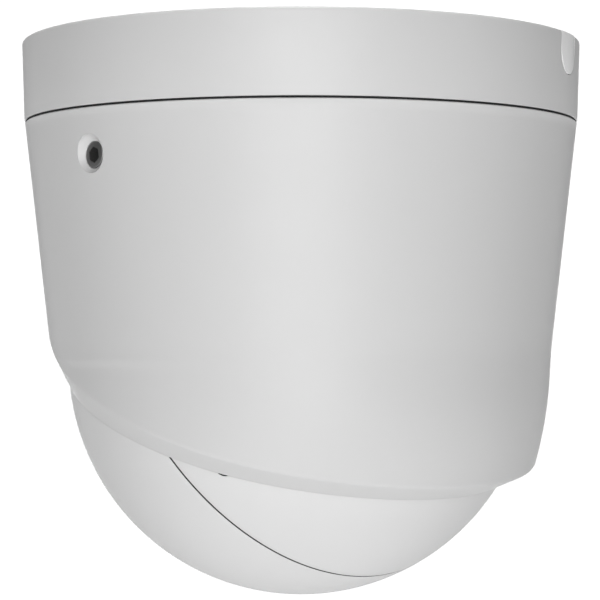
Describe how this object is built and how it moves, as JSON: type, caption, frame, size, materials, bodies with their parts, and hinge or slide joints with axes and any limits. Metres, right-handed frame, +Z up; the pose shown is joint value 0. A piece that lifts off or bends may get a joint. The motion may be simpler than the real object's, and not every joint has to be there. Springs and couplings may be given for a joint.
{
  "type": "ptz camera",
  "caption": "Turret-shaped security camera that hangs from a ceiling: a round base, a panning housing and a ball-shaped tilting eye with a zoom lens.",
  "frame": {"origin": "centre of the flat ceiling face of the mounting base", "axes": "+Z points up into the ceiling along the pan axis, -Y is the front that the lens looks towards at rest, +X is the side with the lock screw"},
  "size_m": [0.114, 0.114, 0.1122],
  "materials": {
    "white_paint": "satin powder coat",
    "black_plastic": "fine matt",
    "rubber": "matt",
    "steel": "bright zinc",
    "dark_steel": "black oxide",
    "nylon": "natural nylon",
    "circuit_board": "solder mask",
    "alloy": "die cast",
    "window": "polished, smoked",
    "lens_glass": "polished, coated",
    "led_lens": "clear epoxy"
  },
  "bodies": {
    "base": {"mounting_base": "white_paint", "ceiling_gasket": "rubber", "conduit_plug": "white_paint", "cable_grommet": "rubber", "pan_ring_gear": "nylon", "spindle_screw": "steel", "thrust_washer": "nylon", "connector_board": "circuit_board", "network_connector": "nylon", "ring_gear_screw_1": "steel", "ring_gear_screw_2": "steel", "ring_gear_screw_3": "steel"},
    "head": {"housing": "white_paint", "turntable": "alloy", "seam_seal": "rubber", "pan_motor": "steel", "main_board": "circuit_board", "power_inductor": "black_plastic", "smoothing_capacitor": "black_plastic", "tilt_pin_right": "steel", "tilt_pin_left": "steel", "tilt_gear": "nylon"},
    "pan_drive": {"pan_pinion": "nylon"},
    "lock": {"lock_screw": "dark_steel"},
    "eye": {"front_shell": "white_paint", "rear_shell": "white_paint", "ball_seam_gasket": "rubber", "window_gasket": "rubber", "window_glass": "window", "front_mask": "black_plastic", "led_board": "circuit_board", "lens_barrel": "black_plastic", "front_element": "lens_glass", "light_sensor": "led_lens", "microphone": "steel", "filter_housing": "black_plastic", "image_sensor": "black_plastic", "sensor_board": "circuit_board", "processor_board": "circuit_board", "chassis": "alloy", "heat_sink": "alloy", "zoom_motor": "steel", "focus_motor": "steel", "card_cover": "white_paint", "ir_led_1": "led_lens", "ir_led_2": "led_lens", "ir_led_3": "led_lens", "ir_led_4": "led_lens", "ir_led_5": "led_lens", "ir_led_6": "led_lens", "chassis_screw_1": "steel", "chassis_screw_2": "steel", "chassis_screw_3": "steel", "tilt_bush_right": "nylon", "tilt_bush_left": "nylon", "tilt_motor": "steel"},
    "tilt_drive": {"tilt_pinion": "nylon"},
    "zoom_lens": {"zoom_group": "lens_glass"},
    "focus_lens": {"focus_group": "lens_glass"},
    "filter": {"ir_filter": "lens_glass"}
  },
  "joints": [
    {"name": "pan", "type": "hinge", "parent": "base", "child": "head", "pos_m": [0, 0, 0], "axis": [0, 0, 1], "range_deg": [-175, 175]},
    {"name": "tilt", "type": "hinge", "parent": "head", "child": "eye", "pos_m": [0, 0, -0.06477], "axis": [1, 0, 0], "range_deg": [-27.4, 62.6]},
    {"name": "pan_pinion_spin", "type": "hinge", "parent": "head", "child": "pan_drive", "pos_m": [-0.0297, -0.0297, 0], "axis": [0, 0, 1], "range_deg": [-1400, 1400]},
    {"name": "tilt_pinion_spin", "type": "hinge", "parent": "eye", "child": "tilt_drive", "pos_m": [0, 0.01705, -0.05593], "axis": [1, 0, 0], "range_deg": [-83, 188]},
    {"name": "lock_screw_travel", "type": "slide", "parent": "head", "child": "lock", "axis": [1, 0, 0], "range_m": [0, 0.003]},
    {"name": "zoom", "type": "slide", "parent": "eye", "child": "zoom_lens", "axis": [0, -0.8878, -0.4602], "range_m": [0, 0.006]},
    {"name": "focus", "type": "slide", "parent": "eye", "child": "focus_lens", "axis": [0, -0.8878, -0.4602], "range_m": [0, 0.006]},
    {"name": "filter_shift", "type": "slide", "parent": "eye", "child": "filter", "axis": [1, 0, 0], "range_m": [0, 0.012]}
  ],
  "couplings": [
    {"joint": "pan_pinion_spin", "follows": "pan", "ratio": -8},
    {"joint": "tilt_pinion_spin", "follows": "tilt", "ratio": 3}
  ]
}
